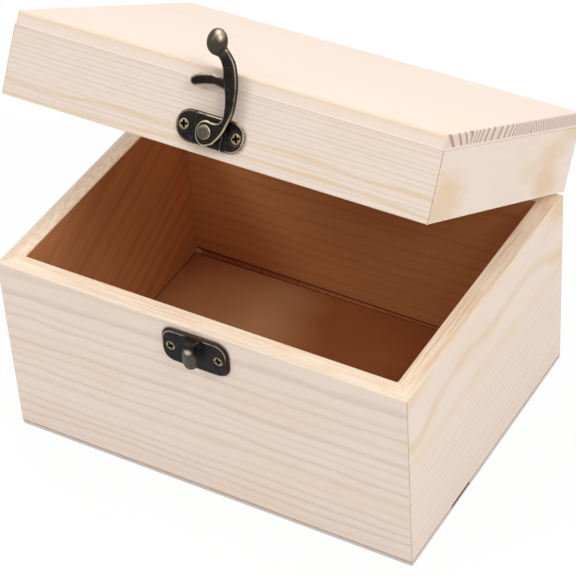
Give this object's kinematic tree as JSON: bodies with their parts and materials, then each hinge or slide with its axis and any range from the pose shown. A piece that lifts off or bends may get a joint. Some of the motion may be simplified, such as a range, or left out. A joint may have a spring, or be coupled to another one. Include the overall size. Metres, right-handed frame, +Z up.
{
  "type": "wooden craft box",
  "caption": "Hinged pine box standing part open, with mitred walls, a shallow lid, a thin bottom panel and a swinging hook latch in antique bronze on its front.",
  "frame": {"origin": "centre of the underside of the bottom panel, which is the centre of the closed box's footprint", "axes": "+Z is up, -Y is the front with the latch, +X is the right end, and the lid's hinge axis runs along X at the back"},
  "size_m": [0.2, 0.1739, 0.2212],
  "materials": {
    "pine": "bare sanded pine, matt",
    "plywood": "thin bare plywood, matt",
    "antique_bronze": "dark antique bronze plating, worn bright at the edges",
    "screw_bronze": "antique brass plating, satin",
    "hinge_bronze": "antique bronze plating, satin"
  },
  "bodies": {
    "box": {"front_wall": "pine", "back_wall": "pine", "left_wall": "pine", "right_wall": "pine", "bottom_panel": "plywood", "catch_plate": "antique_bronze", "catch_screw_left": "screw_bronze", "catch_screw_right": "screw_bronze", "left_hinge_base_leaf": "hinge_bronze", "left_hinge_base_screw_left": "hinge_bronze", "left_hinge_base_screw_right": "hinge_bronze", "left_hinge_pin": "hinge_bronze", "right_hinge_base_leaf": "hinge_bronze", "right_hinge_base_screw_left": "hinge_bronze", "right_hinge_base_screw_right": "hinge_bronze", "right_hinge_pin": "hinge_bronze"},
    "lid": {"lid_front_rail": "pine", "lid_back_rail": "pine", "lid_left_rail": "pine", "lid_right_rail": "pine", "lid_top_panel": "pine", "latch_plate": "antique_bronze", "latch_rivet": "antique_bronze", "latch_screw_left": "screw_bronze", "latch_screw_right": "screw_bronze", "left_hinge_lid_leaf": "hinge_bronze", "left_hinge_lid_screw_left": "hinge_bronze", "left_hinge_lid_screw_right": "hinge_bronze", "right_hinge_lid_leaf": "hinge_bronze", "right_hinge_lid_screw_left": "hinge_bronze", "right_hinge_lid_screw_right": "hinge_bronze"},
    "hook": {"latch_hook": "antique_bronze"}
  },
  "joints": [
    {"name": "lid_hinge", "type": "hinge", "parent": "box", "child": "lid", "pos_m": [0, 0.0761, 0.09615], "axis": [-1, 0, 0], "range_deg": [-30.5, 149.5]},
    {"name": "hook_swing", "type": "hinge", "parent": "lid", "child": "hook", "pos_m": [0, -0.04772, 0.18168], "axis": [0, -0.8616, 0.5075], "range_deg": [-120, 176]}
  ]
}
